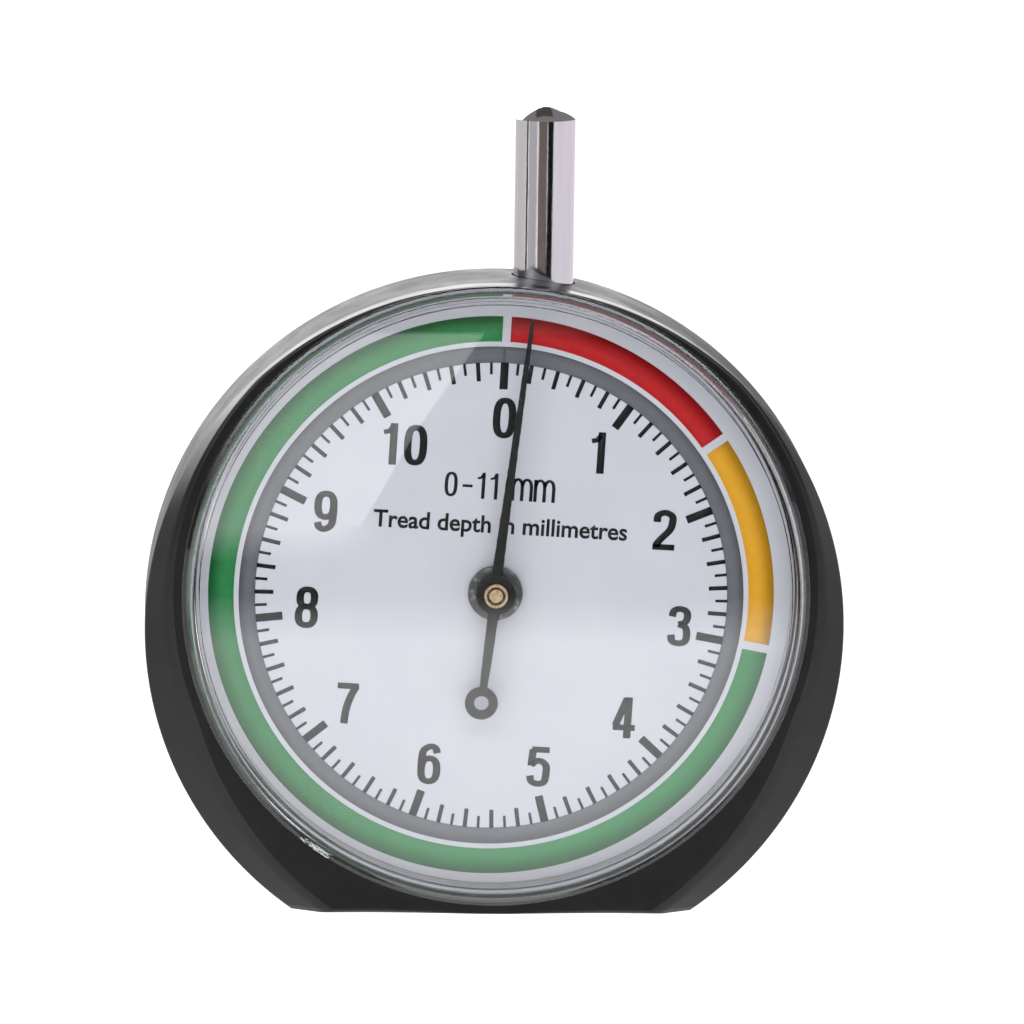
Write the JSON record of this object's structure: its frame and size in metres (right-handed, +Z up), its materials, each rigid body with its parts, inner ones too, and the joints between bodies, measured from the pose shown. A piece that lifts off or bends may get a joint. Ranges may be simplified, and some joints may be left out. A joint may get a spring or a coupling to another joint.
{
  "type": "tyre tread depth gauge",
  "caption": "Round dial gauge with a flat foot, clear lens and chromed top rod that pushes a thin probe out of the foot to measure tyre tread depth.",
  "frame": {"origin": "on the measuring foot's plane, at the centre of the bounding box in X and Y", "axes": "+Z up along the probe towards the button, +X to the right as the dial is read, +Y from the dial to the back"},
  "size_m": [0.046, 0.013, 0.053],
  "materials": {
    "case_plastic": "semi-gloss black moulding",
    "cover_plastic": "fine matt black moulding",
    "clear_lens": "clear polished acrylic",
    "dial_face": "white enamel, printed scale",
    "pointer_black": "satin black",
    "brass": "turned",
    "chrome_button": "polished plating",
    "rod_steel": "ground",
    "spring_steel": "drawn wire",
    "screw_steel": "zinc plated",
    "movement_plate": "fine-grained plate",
    "guide_plastic": "natural low-friction plastic",
    "dark_steel": "blackened",
    "bush_steel": "turned"
  },
  "bodies": {
    "case": {"front_case": "case_plastic", "rear_cover": "cover_plastic", "case_screws": "screw_steel", "lens": "clear_lens", "dial_plate": "dial_face", "bridge_plate": "movement_plate", "rack_guide": "guide_plastic", "front_bearing": "dark_steel", "rear_bearing": "brass", "bridge_pillars": "movement_plate", "pillar_screws": "screw_steel", "bridge_screws": "screw_steel", "guide_screws": "screw_steel", "rod_bush": "dark_steel", "probe_bush": "bush_steel", "spring_washer": "rod_steel", "return_spring": "spring_steel"},
    "plunger": {"push_button": "chrome_button", "rack_rod": "rod_steel", "probe_pin": "rod_steel", "guide_pin": "rod_steel"},
    "pointer": {"pointer": "pointer_black", "pointer_collet": "brass", "pinion_arbor": "brass", "pinion": "brass"}
  },
  "joints": [
    {"name": "plunger_slide", "type": "slide", "parent": "case", "child": "plunger", "axis": [0, 0, -1], "range_m": [0, 0.011], "stiffness_N_per_m": 100, "springref_m": -0.005, "deforming": ["return_spring"]},
    {"name": "pointer_spin", "type": "hinge", "parent": "case", "child": "pointer", "pos_m": [0, 0, 0.0212], "axis": [0, 1, 0], "range_deg": [0, 361]}
  ],
  "couplings": [
    {"joint": "pointer_spin", "follows": "plunger_slide", "rad_per_m": 571.43}
  ]
}
